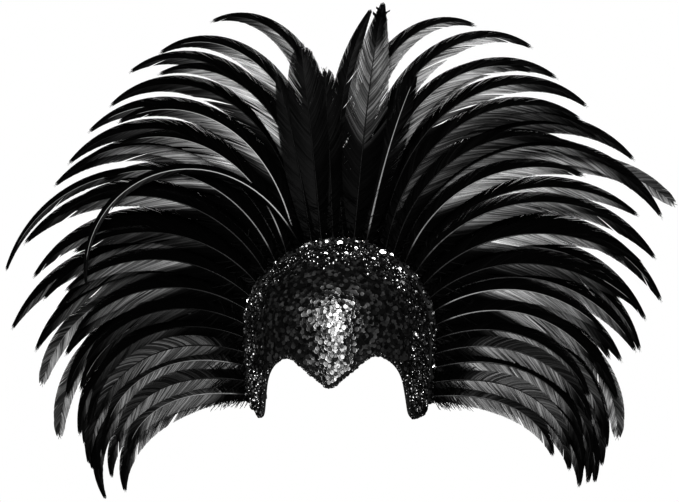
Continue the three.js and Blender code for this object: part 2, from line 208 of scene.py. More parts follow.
def add_panel(azimuth, elevation, distance, width, height, power):
    """A panel that looks at the headdress; a broad one is round."""
    direction = toward(math.radians(azimuth), math.radians(elevation))
    bpy.ops.object.light_add(type="AREA", location=direction * distance)
    panel = bpy.context.object
    panel.data.shape = "ELLIPSE" if width > BROAD_PANEL else "RECTANGLE"
    panel.data.size = width
    panel.data.size_y = height
    panel.data.energy = power
    aim(panel, direction)


for panel_sizes in PANELS:
    add_panel(**panel_sizes)

world = bpy.data.worlds.new("studio")
bpy.context.scene.world = world
world.use_nodes = True
seen = Value(world.node_tree.nodes.new("ShaderNodeLightPath").outputs["Is Camera Ray"])
white = seen.node("ShaderNodeBackground", None, {"Color": (1, 1, 1, 1), "Strength": 1.0})
dim = seen.node("ShaderNodeBackground", None, {"Color": (1, 1, 1, 1), "Strength": WORLD_LIGHT})
sky = seen.node("ShaderNodeMixShader", None, {0: seen, 1: dim, 2: white})
feed(world.node_tree, world.node_tree.nodes["World Output"].inputs["Surface"], sky)
bpy.context.scene.view_settings.view_transform = "Standard"
bpy.context.scene.view_settings.gamma = DEEP_BLACKS

bpy.ops.mesh.primitive_circle_add(
    vertices=96, radius=FLOOR_RADIUS, fill_type="NGON", location=(0, 0, FLOOR_HEIGHT)
)
floor = bpy.context.object
floor.name = "floor"
floor_finish, floor_shader, floor_where = new_finish("pale_floor")
fill(floor_shader, Base_Color=(0.9, 0.9, 0.9, 1), Roughness=0.7)
from_middle = floor_where.node(
    "ShaderNodeVectorMath", {"operation": "LENGTH"}, {0: floor_where}, "Value"
)
fade = from_middle.node(
    "ShaderNodeMapRange", None, {"Value": from_middle, "From Min": FLOOR_FADES, "From Max": FLOOR_RADIUS}
)
clear = fade.node("ShaderNodeBsdfTransparent")
cover(floor_finish, fade.node(
    "ShaderNodeMixShader", None, {0: fade, 1: Value(floor_shader.outputs[0]), 2: clear}
))
floor.data.materials.append(floor_finish)
print("panels", len(PANELS))

# %% [markdown]
# ## Feather, quill and cloth finishes
# A black tail feather is matt where its barbs are loose or turned away, and a sheen is painted
# where they are turned to the light: a lighter grey, glossier shader. So each barb carries two
# marks: a random tone, which sets the colour and gloss of that painted sheen, and how much painted
# sheen it shows, which mixes two shaders. A quill carries a tone too, which paints a highlight:
# most are dark, and on some a pale highlight line is painted. The cloth of the tapes and of the
# cap is dull, with a fine grain.

# %% Finishes
# Grey levels of the sheen painted on lit barbs, by tone
PAINTED_SHEEN_GREYS = ((0.15, 0.002), (0.5, 0.03), (0.85, 0.17))
# Grey levels of the highlight painted on quills, by tone
QUILL_HIGHLIGHT_GREYS = ((0.2, 0.002), (0.5, 0.03), (0.9, 0.42))
MATT_VANE = {"Base Color": (0.0012, 0.0012, 0.0012, 1), "Roughness": 0.4, "Specular IOR Level": 0.03}


# Lit barbs mix from the matt black shader to a lighter, glossier one: a painted sheen
def feather_finish():
    finish, shader, where = new_finish("black_feather_painted_sheen")
    streak = mark(where, "tone") * 0.85 + noise(where, 60.0, 3.0) * 0.15
    fill(shader, Base_Color=grey(streak, *PAINTED_SHEEN_GREYS), Roughness=0.28 + 0.16 * streak,
         Specular_IOR_Level=1.0)
    matt = where.node("ShaderNodeBsdfPrincipled", None, MATT_VANE)
    satin = Value(shader.outputs[0])
    cover(finish, where.node("ShaderNodeMixShader", None, {0: mark(where, "satin"), 1: matt, 2: satin}))
    return finish


# A quill's tone paints a highlight line: a paler grey base colour
def quill_finish():
    finish, shader, where = new_finish("dark_quill")
    grain = noise(where, 220.0, 2.0)
    shade = mark(where, "tone") * 0.8 + grain * 0.2
    fill(shader, Base_Color=grey(shade, *QUILL_HIGHLIGHT_GREYS), Roughness=0.22 + 0.14 * grain,
         Specular_IOR_Level=0.12)
    return finish


def cloth_finish(name, level, threads):
    finish, shader, where = new_finish(name)
    cells = where.node("ShaderNodeTexVoronoi", None, {"Vector": where, "Scale": threads}, "Distance")
    shade = grey(cells, (0.1, level), (0.8, level * 2.2))
    bump = cells.node("ShaderNodeBump", None, {"Height": cells, "Strength": 0.35, "Distance": 0.0003})
    fill(shader, Base_Color=shade, Roughness=0.75 + 0.2 * cells, Normal=bump)
    return finish


feather_black = feather_finish()
quill_dark = quill_finish()
tape_cloth = cloth_finish("tape_cloth", 0.003, 1400.0)
cap_cloth = cloth_finish("cap_cloth", 0.002, 900.0)
print("finishes", [f.name for f in (feather_black, quill_dark, tape_cloth, cap_cloth)])

# %% [markdown]
# ## The lines that everything follows
# Each quill leaves the rim at a heading and turns ever faster towards its tip. The tables below
# say so in millimetres about the middle of the head, as the solids have it, and one function
# turns a row of a table into a line in space with a frame on it: along the quill, across the
# vane, and back through it.

# %% Rim and sweep
MM = 0.001
cap_low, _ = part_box("cap_shell")
_, band_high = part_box("cap_band")
CAP_HALF_WIDTH = band_high.x / MM
CAP_REACH = -cap_low.y / MM
CAP_WALL = band_high.z / MM
BAND_DEPTH = band_high.y / MM
CAP_RISE = 75.0
SKIRT_DROP = 82.0
SKIRT_TAPER = 0.045
HEAD_MIDDLE = CAP_WALL - CAP_RISE
SEAT_CLEARANCE = 0.35
TAPE_HALF_WIDTH = 3.6
TAPE_THICKNESS = 2.2
RIM_QUARTER = math.pi / 4 * (CAP_HALF_WIDTH + CAP_RISE)
RIM_LEG = 67.0
RIM_HALF = RIM_QUARTER + RIM_LEG
SWEEP_BACK = 24.0
SWEEP_REACH = 220.0
PLUME_SWEEP = 0.35
PLUME_CURL_FROM = 130.0


def smooth_step(value, low, high):
    share = np.clip((value - low) / (high - low), 0, 1)
    return share * share * (3 - 2 * share)


def skirt_width(up):
    return 1 - SKIRT_TAPER * (np.minimum(0, up) / SKIRT_DROP) ** 2


def rim_point(around, depth, lift):
    """Points at distances round the rim from the crown, lifted off the cap's outside."""
    around, depth, lift = np.broadcast_arrays(np.asarray(around, float), depth, lift)
    side = np.where(around < 0, -1.0, 1.0)
    distance = np.abs(around)
    share = np.sqrt(1 - (depth / CAP_REACH) ** 2)
    angle = np.minimum(distance / RIM_QUARTER, 1) * math.pi / 2
    up = np.minimum(0, RIM_QUARTER - distance)
    across = np.where(up < 0, CAP_HALF_WIDTH * share * skirt_width(up) + lift,
                      (CAP_HALF_WIDTH * share + lift) * np.sin(angle))
    height = np.where(up < 0, up, (CAP_RISE * share + lift) * np.cos(angle))
    return np.stack([side * across, depth, height], -1)


def out_from_rim(across, up):
    return np.maximum(0, np.hypot(across, up) - CAP_RISE)


def fan_sweep(across, up):
    return SWEEP_BACK * (out_from_rim(across, up) / SWEEP_REACH) ** 2


def plume_sweep(across, up):
    curl = smooth_step(out_from_rim(across, up), PLUME_CURL_FROM, SWEEP_REACH)
    return (PLUME_SWEEP + (1 - PLUME_SWEEP) * curl) * fan_sweep(across, up)


print("cap", CAP_HALF_WIDTH, CAP_REACH, BAND_DEPTH, "rim half", round(RIM_HALF, 1))

# %% Quill lines
ROUTE_STEPS = 60
TIP_REACH = 1.12


class Line:
    """A quill's line and the frame along it, by distance from the root in millimetres."""

    def __init__(self, root, side, start, turn, crook, length, depth_at):
        self.length = length
        self.side = side
        step = length / ROUTE_STEPS
        count = int(ROUTE_STEPS * TIP_REACH)
        middle = (np.arange(count) + 0.5) / ROUTE_STEPS
        heading = np.radians(start + turn * np.minimum(middle, 1) ** crook)
        across = root[0] + side * step * np.concatenate([[0], np.cumsum(np.sin(heading))])
        up = root[2] + step * np.concatenate([[0], np.cumsum(np.cos(heading))])
        self.distance = step * np.arange(count + 1)
        share = self.distance / length
        place = np.stack([across, depth_at(share, across, up), up], -1)
        ahead = np.gradient(place, axis=0)
        ahead /= np.linalg.norm(ahead, axis=1, keepdims=True)
        wide = np.stack([side * ahead[:, 2], np.zeros(count + 1), -side * ahead[:, 0]], -1)
        wide /= np.linalg.norm(wide, axis=1, keepdims=True)
        wide[:, 1] = depth_at(share, across + wide[:, 0], up + wide[:, 2]) - place[:, 1]
        wide /= np.linalg.norm(wide, axis=1, keepdims=True)
        self.columns = np.concatenate([place, wide, side * np.cross(ahead, wide)], 1)

    def frame(self, distance):
        """The line's place, and the ways across the vane and back through it."""
        flat = np.ravel(distance)
        columns = [np.interp(flat, self.distance, column) for column in self.columns.T]
        return np.split(np.stack(columns, -1), 3, axis=1)

    def at(self, distance, sideways, behind):
        """Points beside the line: sideways is positive on the inner side of the bend."""
        shape = np.shape(distance)
        place, wide, back = self.frame(distance)
        points = place + wide * np.ravel(sideways)[:, None] + back * np.ravel(behind)[:, None]
        return points.reshape(*shape, 3)


print("steps along a quill", ROUTE_STEPS)

# %% [markdown]
# ## The fan in tables
# The feathers of a fan change slowly from the crown to the temples. So a table gives their
# heading, bend and length at a few places round the rim, and those between are worked out. The
# rows lie behind each other, each a little longer than the one before it. A repeatable scatter
# keeps them from looking combed, and a short list names the feathers that stand out.

# %% Fan tables
SCATTER_SEED = 20
SCATTER_STEPS = (12.9898, 78.233)
SCATTER_STRETCH = 43758.5453


def scatter(a, b):
    """A number from -1 to 1 that looks random and is the same for the same pair."""
    wave = math.sin(a * SCATTER_STEPS[0] + b * SCATTER_STEPS[1]) * SCATTER_STRETCH
    return 2 * (wave - math.floor(wave)) - 1


FAN_COLUMNS = ("at", "start", "turn", "crook", "length")
FAN = np.array([
    (0.04, 0.5, 112, 3, 274),
    (0.12, 8.5, 115, 2, 285),
    (0.22, 12, 122, 1.4, 284),
    (0.33, 22, 114, 1.05, 278),
    (0.45, 38, 104, 0.92, 264),
    (0.58, 55, 105, 1, 236),
    (0.7, 66, 114, 1.1, 228),
    (0.82, 74, 116, 1.25, 228),
    (0.97, 87, 102, 1.8, 186),
])
ROWS = [
    {"name": "row_1", "depth": 4.6, "share": 0.74, "width": 21, "from": 0.25, "to": 0.97},
    {"name": "row_2", "depth": 13, "share": 0.86, "width": 21, "from": 0.13, "to": 0.97},
    {"name": "row_3", "depth": 21.4, "share": 0.96, "width": 22, "from": 0.05, "to": 0.96},
    {"name": "row_4", "depth": 29.8, "share": 1, "width": 22, "from": 0.1, "to": 0.96},
]
ROW_COUNT = 12
BUNCHES = ("crown", "shoulder", "temple")
PER_BUNCH = ROW_COUNT // len(BUNCHES)
LAYER_STEP = 2.0


def fan_value(column, at):
    return float(np.interp(at, FAN[:, 0], FAN[:, FAN_COLUMNS.index(column)]))


# Blade outline: share of the length, share of the full width
SICKLE = np.array([(0, 0.08), (0.07, 0.36), (0.2, 0.7), (0.36, 0.94), (0.5, 1), (0.64, 0.92),
                   (0.78, 0.7), (0.9, 0.38), (1, 0.03)])
BLUNT = np.array([(0, 0.12), (0.12, 0.34), (0.3, 0.66), (0.5, 0.9), (0.7, 1), (0.88, 0.86),
                  (0.97, 0.5), (1, 0.2)])

# Feathers that stand out: degrees added to the start, shares of turn, length, width, blade
PLAIN = (0, 1, 1, 1, SICKLE)
STANDOUTS = {
    ("row_4", -1, 3): (0, 1.2, 1.2, 0.55, SICKLE),
    ("row_3", -1, 5): (0, 1, 0.95, 0.75, SICKLE),
    ("row_4", -1, 5): (0, 1, 1.06, 1, SICKLE),
    ("row_4", -1, 6): (0, 1.06, 1.03, 0.85, BLUNT),
    ("row_4", -1, 7): (0, 1.08, 1.11, 0.9, BLUNT),
    ("row_4", -1, 10): (0, 1.12, 1.07, 0.9, SICKLE),
    ("row_4", -1, 11): (6, 0.92, 0.92, 1.1, SICKLE),
    ("row_3", 1, 3): (0, 1.16, 1.1, 1.1, SICKLE),
    ("row_4", 1, 3): (0, 0.97, 1.07, 0.9, BLUNT),
    ("row_3", 1, 4): (0, 1.06, 0.98, 1, SICKLE),
    ("row_4", 1, 4): (0, 1.1, 1.01, 1, SICKLE),
    ("row_3", 1, 5): (0, 1.1, 0.91, 0.9, SICKLE),
    ("row_4", 1, 5): (0, 1.13, 0.98, 0.9, SICKLE),
    ("row_3", 1, 6): (0, 1, 0.91, 1, SICKLE),
    ("row_4", 1, 6): (0, 0.96, 0.84, 1, SICKLE),
    ("row_3", 1, 7): (0, 0.92, 0.84, 1, SICKLE),
    ("row_4", 1, 7): (0, 1.1, 1.02, 0.9, BLUNT),
    ("row_4", 1, 11): (-6, 1.06, 0.98, 1, SICKLE),
}
HEADING_SCATTER = 1.0
LENGTH_SCATTER = 0.04
TURN_BY_SHARE = 0.8


def fan_feather(row_number, number, side):
    """One feather of the fan: its line, its place round the rim, its blade and its width."""
    row = ROWS[row_number]
    at = row["from"] + (row["to"] - row["from"]) * number / (ROW_COUNT - 1)
    seed = SCATTER_SEED + row_number * 100 + number * 2 + (1 if side < 0 else 0)
    depth = row["depth"] + (LAYER_STEP if number % 2 else -LAYER_STEP)
    start, turn, length, width, blade = STANDOUTS.get((row["name"], side, number), PLAIN)
    line = Line(
        root=rim_point(side * at * RIM_HALF, row["depth"], SEAT_CLEARANCE + TAPE_THICKNESS / 2),
        side=side,
        start=fan_value("start", at) + start + HEADING_SCATTER * scatter(seed, 1),
        turn=fan_value("turn", at) * row["share"] ** TURN_BY_SHARE * turn,
        crook=fan_value("crook", at),
        length=fan_value("length", at) * row["share"] * length * (1 + LENGTH_SCATTER * scatter(seed, 2)),
        depth_at=lambda share, across, up: depth + fan_sweep(across, up),
    )
    return line, at * RIM_HALF, blade, row["width"] * width


first_line, first_around, _, _ = fan_feather(3, 0, 1)
print("first quill of the back row", round(first_line.length), "mm long at", round(first_around))

# %% [markdown]
# ## One barb, one quill
# A vane is hundreds of barbs side by side. We model one barb as a small strip that narrows a
# little towards its end, and one quill as a six-sided rod, extruded ring by ring. Every feather
# is then built of copies, bent along its own line. Strips are cheaper than hairs, and they catch
# the light in streaks as real barbs do.

# %% Master barb and quill
BARB_STEPS = 3
# From how far before its end, in half lengths, a barb narrows, and by what share
BARB_NARROWS = ((0.8, 0.96), (0.1, 0.85))
QUILL_STEPS = 36
QUILL_SIDES = 6


def edit_all():
    """Edit mode, with the whole shape selected."""
    bpy.ops.object.mode_set(mode="EDIT")
    bpy.ops.mesh.select_all(action="SELECT")


def choose(test):
    """Edit mode, with only the vertices selected whose place passes a test."""
    bpy.ops.object.mode_set(mode="OBJECT")
    mesh = bpy.context.object.data
    for group in (mesh.polygons, mesh.edges, mesh.vertices):
        group.foreach_set("select", np.zeros(len(group), bool))
    for vertex in mesh.vertices:
        vertex.select = bool(test(vertex.co))
    bpy.ops.object.mode_set(mode="EDIT")
    bpy.ops.mesh.select_mode(type="VERT")


def extrude(rise):
    bpy.ops.mesh.extrude_region_move(TRANSFORM_OT_translate={"value": (0, 0, rise)})


def take_shape():
    """Leaves edit mode and gives the shape as arrays, after which its object is removed."""
    bpy.ops.object.mode_set(mode="OBJECT")
    thing = bpy.context.object
    points = np.array([v.co for v in thing.data.vertices])
    faces = [list(p.vertices) for p in thing.data.polygons]
    bpy.data.objects.remove(thing)
    return points, faces


def master_barb():
    bpy.ops.mesh.primitive_grid_add(x_subdivisions=1, y_subdivisions=BARB_STEPS, size=2)
    for from_end, breadth in BARB_NARROWS:
        choose(lambda place, low=1 - from_end: place.y > low)
        bpy.ops.transform.resize(value=(breadth, 1, 1))
    return take_shape()


def master_quill():
    bpy.ops.mesh.primitive_circle_add(vertices=QUILL_SIDES, radius=1, location=(0, 0, 0))
    edit_all()
    for _ in range(QUILL_STEPS):
        extrude(1 / QUILL_STEPS)
    bpy.ops.mesh.merge(type="CENTER")
    return take_shape()


barb_points, barb_faces = master_barb()
quill_points, quill_faces = master_quill()
print("barb", len(barb_faces), "faces, quill", len(quill_faces), "faces")

# %% [markdown]
# ## Strips along a line
# Along the quill a vane widens, stays full and closes to a point. Real vanes split, so here and
# there a run of barbs leans away from its neighbours. Each barb is also rolled about itself:
# where the vane is lit its barbs look to the light, and elsewhere they look away from it, so a
# soft crescent shines and the rest stays black. The lit barbs also carry a painted sheen, a
# lighter and glossier shader. All this is sums on arrays, one row for a barb.

# %% Strips of barbs
QUILL_FOOT = 2.6
OUTLINE_EASE = np.linspace(-0.05, 0.05, 7)
TIP_KEPT = 0.95
MOST_SPLITS = 3
SPLITS_FROM = 0.25
SPLIT_LEAN = (0.2, 0.5)
SPLIT_RUN = 12
BARB_BOW = 1.25
CURL_MIDDLE = 0.4
LOOSE_TONE = 0.3
TONE_SPREAD = 0.15
# A hand of -1 is the upper vane and 1 the lower one
DARK_LEAN = {-1: 0.36, 1: -0.34}
LIGHT_AZIMUTH = math.radians(4.7)
LIGHT_ELEVATION = math.radians(17.5)
TO_LIGHT = np.array(toward(LIGHT_AZIMUTH, LIGHT_ELEVATION))
DRAW_SEED = 11
draws = np.random.default_rng(DRAW_SEED)


def half_width(blade, width, share):
    """Half of a blade's width, eased so that its outline has no corners before the tip."""
    wide = np.mean([np.interp(share + s, blade[:, 0], blade[:, 1]) for s in OUTLINE_EASE], axis=0)
    wide = np.where(share > TIP_KEPT, np.interp(share, blade[:, 0], blade[:, 1]), wide)
    return (QUILL_FOOT + (width - QUILL_FOOT) * wide) / 2 * (share < 1)


def split_lag(count):
    """How much further forward barbs lean after each split, fading along the vane."""
    lag = np.zeros(count)
    for place in draws.integers(int(SPLITS_FROM * count), count, draws.integers(0, MOST_SPLITS + 1)):
        after = np.arange(count) - place
        lean = draws.uniform(*SPLIT_LEAN)
        lag += np.where(after >= 0, lean * np.exp(-np.maximum(after, 0) / SPLIT_RUN), 0)
    return lag


def ripple(count, middle, *waves):
    """Random values about a middle; each wave has a size and changes from run to run of barbs."""
    values = np.full(count, float(middle))
    for size, run in waves:
        knots = draws.normal(0, size, count // run + 3)
        values = values + np.interp(np.arange(count) / run, np.arange(len(knots)), knots)
    return values


def lay_strips(line, hand, roots, reach, slant, breadth, lean, roll, tone=LOOSE_TONE, satin=0.0, curl=0.0):
    """Copies of the barb: roots along the quill, reach sideways, slant forward."""
    v = np.clip((barb_points[:, 1] + 1) / 2, 0, 1)
    x = barb_points[:, 0]
    distance = roots[:, None] + (reach * slant)[:, None] * v**BARB_BOW + breadth * x
    sideways = reach[:, None] * v
    behind = -lean[:, None] * sideways + (roll[:, None] + curl * (v - CURL_MIDDLE)) * breadth * x
    tones = tone + draws.uniform(-TONE_SPREAD, TONE_SPREAD, len(roots))
    # Each barb carries its tone and its painted sheen
    marks = np.stack([tones, satin + 0 * roots], -1)
    return line.at(distance, hand * sideways, behind).reshape(-1, 3), np.repeat(marks, len(v), axis=0)


def roll_to_light(line, roots, slant, lean, hand, lit):
    """How far barbs roll about themselves: to the light where lit is 1, away where it is 0."""
    _, wide, back = line.frame(roots)
    ahead = line.side * np.cross(wide, back)
    front = -(back @ TO_LIGHT)
    asked_lean = lit * -hand * (wide @ TO_LIGHT) / front + (1 - lit) * DARK_LEAN[hand]
    asked_roll = lit * (ahead @ TO_LIGHT) / front
    return (slant * (asked_lean - lean) + asked_roll) / (1 + slant**2)


print("way to the light", TO_LIGHT.round(2))

# %% [markdown]
# ## Vanes, down and quills
# The two vanes of a tail feather differ: the upper one is trim, and the lower one is ragged and
# droops. Both are rows of strips that stand off the quill near the root and lie along it at the
# tip. Their tones change from barb to barb, and parted barbs carry less of the painted sheen,
# which leaves dark lines. Loose barbs do the rest: down near the root, short fluff that closes the
# gaps between the feet, and broken barbs on a worn tip. A quill is dark at its foot, and on some a
# pale highlight is painted further on.

# %% Vanes, down and quills
BARBS_A_SIDE = 400
BARB_FROM = 0.03
BARB_BREADTH = 0.8
LEAST_REACH = 0.5
OUTLINE_TRIES = 6
SLANTS = ((0, 0.9), (0.2, 1.9), (0.6, 3.0), (1, 4.0))
SLANT_SPREAD = 0.03
RAGGED = {-1: 0.01, 1: 0.035}
LEAN_WAVE = {-1: (0.01, 5), 1: (0.03, 5)}
DROOP = {-1: 0, 1: 0.2}
DROOP_GROWS = (0.2, 0.5)
CURL = {-1: 0, 1: -0.1}
ROLL_WAVE = (0.035, 4)
ROLL_SPREAD = 0.03
LIT_FROM = (0.24, 0.42)
LIT_GROWS = 0.16
LIT_TO = (0.82, 1.0)
LIT_FADES = 0.2
BLUNT_LIT_ON = 0.3
# Parted barbs lose painted sheen, and the painted sheen ripples from barb to barb
PARTED_SHARE = 0.14
PARTED_SHEEN_CUT = 0.85
PAINTED_SHEEN_WAVES = ((0.14, 11), (0.22, 3))
TONE_MIDDLE = 0.52
TONE_WAVES = ((0.1, 13), (0.16, 5), (0.26, 2))
# Ranges for loose barbs: roots in lengths, reach in widths for down and else in millimetres
DOWN = {"roots": (0.015, 0.2), "reach": (0.25, 0.62), "slant": (0.3, 1.3), "lean": (0.1, 0.35),
        "roll": 0.5, "breadth": 0.28}
ROOT_FLUFF = {"roots": (0.0, 0.055), "reach": (2, 7), "slant": (0.3, 1.6), "lean": (0.1, 0.2),
              "roll": 0.3, "breadth": 0.6}
WORN_TIP = {"roots": (0.93, 0.985), "reach": (3, 7.5), "slant": (-0.1, 0.7), "lean": (0.2, 0.5),
            "roll": 0.6, "breadth": 1.2}
QUILL_FINE = 0.22
QUILL_TAPER = 0.9
QUILL_REACH = 0.94
# Shares of a quill's length over which its painted highlight comes in
QUILL_HIGHLIGHT_STARTS = (0.02, 0.15)


def vane(line, blade, width, hand, lean, shine, steep, early):
    """One side of a feather: points and marks."""
    count = BARBS_A_SIDE
    share = BARB_FROM + (1 - BARB_FROM) * (np.arange(count) + 0.5) / count
    roots = share * line.length
    slant = steep * np.interp(share, *np.transpose(SLANTS))
    slant = slant * (1 + (hand > 0) * split_lag(count)) + draws.normal(0, SLANT_SPREAD, count)
    reach = half_width(blade, width, share)
    for _ in range(OUTLINE_TRIES):
        reach = (reach + half_width(blade, width, share + reach * slant / line.length)) / 2
    reach = np.maximum(reach, LEAST_REACH) * draws.uniform(1 - RAGGED[hand], 1 + RAGGED[hand], count)
    leans = ripple(count, lean, LEAN_WAVE[hand]) + DROOP[hand] * smooth_step(share, *DROOP_GROWS)
    roll = ripple(count, 0, ROLL_WAVE) + draws.normal(0, ROLL_SPREAD, count)
    first = draws.uniform(*LIT_FROM) - early
    last = draws.uniform(*LIT_TO) + BLUNT_LIT_ON * (blade is BLUNT)
    faded = smooth_step(share, last - LIT_FADES, last)
    lit = shine * smooth_step(share, first, first + LIT_GROWS) * (1 - faded)
    roll = roll + roll_to_light(line, roots, slant, leans, hand, lit)
    parted = draws.uniform(0, 1, count) < PARTED_SHARE
    # Painted sheen where the vane is lit, less of it on parted barbs
    satin = np.clip(lit * ripple(count, 1, *PAINTED_SHEEN_WAVES), 0, 1) * (1 - PARTED_SHEEN_CUT * parted)
    tone = np.clip(ripple(count, TONE_MIDDLE, *TONE_WAVES), 0, 1)
    breadth = BARB_BREADTH * line.length / count
    return lay_strips(line, hand, roots, reach, slant, breadth, leans, roll, tone, satin, CURL[hand])


def loose_barbs(line, hand, count, kind, scale=1.0):
    """Barbs that close to no vane, drawn from the ranges of their kind."""
    roots = draws.uniform(*kind["roots"], count) * line.length
    reach = draws.uniform(*kind["reach"], count) * scale
    slant = draws.uniform(*kind["slant"], count)
    lean = draws.normal(*kind["lean"], count)
    roll = draws.normal(0, kind["roll"], count)
    return lay_strips(line, hand, roots, reach, slant, kind["breadth"], lean, roll)


def rod(line, thick, quill_highlight):
    """A quill along its line, thick at the foot and fine at the tip, dark at the foot and with a painted
    highlight further on.
    """
    share = np.clip(quill_points[:, 2], 0, 1)
    radius = thick * (QUILL_FINE + (1 - QUILL_FINE) * (1 - share) ** QUILL_TAPER)
    along = share * line.length * QUILL_REACH
    points = line.at(along, radius * quill_points[:, 0], radius * quill_points[:, 1])
    # A quill's tone is a painted highlight: a paler line that starts a little way from the foot
    tone = quill_highlight * smooth_step(share, *QUILL_HIGHLIGHT_STARTS)
    return points, np.stack([tone, tone], -1)


print("barbs in two vanes", 2 * BARBS_A_SIDE)

# %% [markdown]
# ## Whole feathers, joined pieces
# A feather is its quill, two vanes and its loose barbs. To join thousands of strips with an
# operator would take minutes, so their points and faces are gathered in lists and become one
# mesh, in which every point carries its tone and its painted sheen. A finished piece then rides
# on the headdress and takes the place of its solid.

# %% Feathers and pieces
DOWN_A_SIDE = 26
FLUFF_A_SIDE = 36
LEAN = {-1: 0.06, 1: 0.14}
LEAN_SPREAD = 0.03
LOWER_SHINES = (0.2, 0.6, 0.85, 1.0)
QUILL_RADIUS = 0.8
QUILL_SKEW = 2.2
FEATHER_FINISHES = [feather_black, quill_dark, tape_cloth]
# Places in that list
BARBS, QUILL, CLOTH = range(3)
PLAIN_MARK = 0.5


def feather(line, blade, width, thick=QUILL_RADIUS, shines=None, steep=1.0, early=0.0, quill_highlight=None,
            downs=DOWN_A_SIDE, broken=0):
    """All the parts of one feather: a list of points, faces, finish number and marks."""
    # How bright a highlight is painted on the quill, unless one is given
    drawn = draws.uniform(0, 1) ** QUILL_SKEW
    quill, quill_marks = rod(line, thick, drawn if quill_highlight is None else quill_highlight)
    parts = [(quill, quill_faces, QUILL, quill_marks)]
    strips = [loose_barbs(line, hand, broken, WORN_TIP) for hand in (-1, 1)]
    upper, lower = shines or (0, draws.choice(LOWER_SHINES))
    for hand, shine in ((-1, upper), (1, lower)):
        lean = LEAN[hand] + draws.normal(0, LEAN_SPREAD)
        strips.append(vane(line, blade, width, hand, lean, shine, steep, early))
        strips.append(loose_barbs(line, hand, downs, DOWN, width))
        strips.append(loose_barbs(line, hand, FLUFF_A_SIDE, ROOT_FLUFF))
    for points, marks in strips:
        first = np.arange(0, len(points), len(barb_points))
        faces = np.array(barb_faces)[None] + first[:, None, None]
        parts.append((points, faces.reshape(-1, 4).tolist(), BARBS, marks))
    return parts


def join_parts(name, parts, finishes):
    """One object of many parts, moved from the head's middle to the origin, in metres."""
    points, faces, numbers, marks, base = [], [], [], [], 0
    for part_points, part_faces, number, part_marks in parts:
        points.append(part_points)
        faces += [[base + i for i in face] for face in part_faces]
        numbers += [number] * len(part_faces)
        marks.append(part_marks)
        base += len(part_points)
    places = (np.concatenate(points) + (0, 0, HEAD_MIDDLE)) * MM
    mesh = bpy.data.meshes.new(name)
    mesh.from_pydata(places.tolist(), [], faces)
    mesh.polygons.foreach_set("material_index", numbers)
    mesh.polygons.foreach_set("use_smooth", np.ones(len(faces), bool))
    # Each point's tone, and the painted sheen that mixes the feather's shaders
    for kind, values in zip(("tone", "satin"), np.concatenate(marks).T):
        mesh.attributes.new(kind, "FLOAT", "POINT").data.foreach_set("value", values.copy())
    for finish in finishes:
        mesh.materials.append(finish)
    mesh.update()
    made = bpy.data.objects.new(name, mesh)
    bpy.context.scene.collection.objects.link(made)
    return made


def settle(piece, slot, *nodes):
    """A finished piece takes its place on the body and its solids' places. Its slot is not used."""
    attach(piece, "root")
    if nodes:
        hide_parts(*nodes)


print("loose barbs in a feather", 2 * (DOWN_A_SIDE + FLUFF_A_SIDE))

# %% [markdown]
# ## The fan
# Four feathers share a tape, as they are sold and sewn: a strip of cloth with the quills glued
# into it. We model the strip once as a bevelled block, cut across so that it can bend, and lay
# a copy round the rim for each bunch. The feathers of the temples hang, so they carry more
# painted sheen, and from nearer the root. A bunch is one piece, so it can stand for its solid.

# %% Master tape
TAPE_ROUNDING = 0.2
TAPE_CUTS = np.linspace(-0.8, 0.8, 15)


def master_tape():
    bpy.ops.mesh.primitive_cube_add(size=2)
    edit_all()
    bpy.ops.mesh.bevel(offset=TAPE_ROUNDING, segments=2, affect="EDGES")
    for cut in TAPE_CUTS:
        bpy.ops.mesh.select_all(action="SELECT")
        bpy.ops.mesh.bisect(plane_co=(cut, 0, 0), plane_no=(1, 0, 0))
    return take_shape()


tape_points, tape_faces = master_tape()


def cloth_part(points):
    """A copy of the tape's block at these points."""
    return points, tape_faces, CLOTH, np.full((len(points), 2), PLAIN_MARK)


def tape(low, high, depth):
    """A strip round the rim between two places, some way behind it."""
    around = low + (high - low) * (tape_points[:, 0] + 1) / 2
    lift = SEAT_CLEARANCE + TAPE_THICKNESS * (tape_points[:, 2] + 1) / 2
    return cloth_part(rim_point(around, depth + TAPE_HALF_WIDTH * tape_points[:, 1], lift))


print("tape", len(tape_faces), "faces")

# %% Bunches of the fan
TAPE_GAP = 0.8
TEMPLE_FROM = (0.6, 0.85)
TEMPLE_OPENS = 0.4
TEMPLE_EARLY = 0.26
TEMPLE_SHINES = ((0, 0.25, 0.5), (0.6, 0.9, 1.0))
BLUNT_SHINES = (0.6, 0.9)
BLUNT_STEEP = 0.5
CROWN_ROWS = 2
CROWN_SHINES = (0.25, 0.5, 0.8)
CROWN_EARLY = (0.05, 0.3)
WISPY_FEATHERS = 2
WISPS_A_SIDE = 3 * DOWN_A_SIDE


def fan_looks(row_number, number, side, around, blade):
    """How a fan feather is lit and sheen-painted, how its barbs lie, its painted quill highlight, its
    down.
    """
    low = smooth_step(around / RIM_HALF, *TEMPLE_FROM)
    looks = {"steep": 1 - TEMPLE_OPENS * low, "early": TEMPLE_EARLY * low}
    if blade is BLUNT:
        looks.update(shines=BLUNT_SHINES, steep=BLUNT_STEEP)
    elif low > 0.5:
        looks["shines"] = [draws.choice(shines) for shines in TEMPLE_SHINES]
    elif side > 0 and row_number < CROWN_ROWS and low == 0:
        looks["shines"] = 0, draws.choice(CROWN_SHINES)
        looks["early"] = draws.uniform(*CROWN_EARLY)
    if row_number == 0:
        # Front-row quills are given a painted highlight, some bright and some faint
        looks["quill_highlight"] = 0.5 + 0.5 * scatter(number, side)
        looks["downs"] = WISPS_A_SIDE if number >= ROW_COUNT - WISPY_FEATHERS else DOWN_A_SIDE
    return looks


